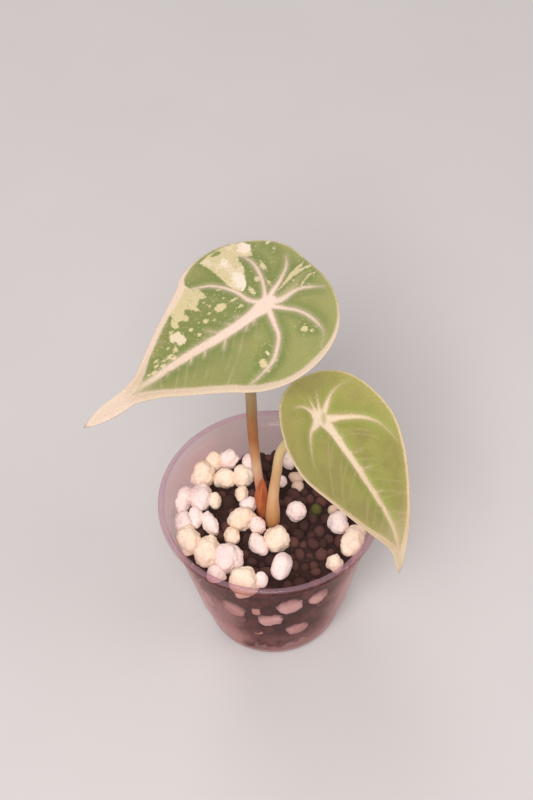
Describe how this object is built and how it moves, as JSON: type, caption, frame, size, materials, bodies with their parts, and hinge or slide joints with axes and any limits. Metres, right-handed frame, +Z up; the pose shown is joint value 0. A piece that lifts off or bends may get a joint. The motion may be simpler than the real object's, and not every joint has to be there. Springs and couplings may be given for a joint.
{
  "type": "potted black velvet alocasia",
  "caption": "Young variegated alocasia with pale-veined heart-shaped blades on slim stalks, growing in a small clear tapered cup of dark granules and pale pumice.",
  "frame": {"origin": "middle of the cup's flat base, on the surface it stands on", "axes": "+Z up through the cup's axis, -Y towards the side the picture is taken from, +X to that viewer's right"},
  "size_m": [0.087, 0.0712, 0.1365],
  "materials": {
    "clear_plastic": "clear, glossy",
    "dark_granules": "matte, porous",
    "pumice_cream": "matte, porous",
    "pumice_white": "matte, porous",
    "leaf_variegated": "velvety, pale veins and cream patches",
    "leaf_yellow_green": "velvety, pale veins",
    "stalk_olive": "satin, olive to orange brown",
    "stalk_tan": "satin, tan to olive",
    "sheath_rust": "dry, matte",
    "corm_brown": "matte"
  },
  "bodies": {
    "root": {"blade_large": "leaf_variegated", "blade_small": "leaf_yellow_green", "corm_with_roots": "corm_brown", "cup": "clear_plastic", "pumice_cream_01": "pumice_cream", "pumice_cream_02": "pumice_cream", "pumice_cream_03": "pumice_cream", "pumice_cream_04": "pumice_cream", "pumice_cream_05": "pumice_cream", "pumice_cream_06": "pumice_cream", "pumice_cream_07": "pumice_cream", "pumice_cream_08": "pumice_cream", "pumice_cream_09": "pumice_cream", "pumice_cream_10": "pumice_cream", "pumice_cream_11": "pumice_cream", "pumice_cream_12": "pumice_cream", "pumice_cream_13": "pumice_cream", "pumice_cream_14": "pumice_cream", "pumice_wall_01": "pumice_white", "pumice_wall_02": "pumice_white", "pumice_wall_03": "pumice_white", "pumice_wall_04": "pumice_white", "pumice_wall_05": "pumice_white", "pumice_wall_06": "pumice_white", "pumice_wall_07": "pumice_white", "pumice_wall_08": "pumice_white", "pumice_wall_09": "pumice_white", "pumice_wall_10": "pumice_white", "pumice_white_01": "pumice_white", "pumice_white_02": "pumice_white", "pumice_white_03": "pumice_white", "pumice_white_04": "pumice_white", "pumice_white_05": "pumice_white", "pumice_white_06": "pumice_white", "pumice_white_07": "pumice_white", "pumice_white_08": "pumice_white", "pumice_white_09": "pumice_white", "pumice_white_10": "pumice_white", "pumice_white_11": "pumice_white", "pumice_white_12": "pumice_white", "pumice_white_13": "pumice_white", "pumice_white_14": "pumice_white", "pumice_white_15": "pumice_white", "pumice_white_16": "pumice_white", "pumice_white_17": "pumice_white", "pumice_white_18": "pumice_white", "sheath": "sheath_rust", "stalk_large": "stalk_olive", "stalk_small": "stalk_tan", "substrate": "dark_granules"}
  },
  "joints": []
}
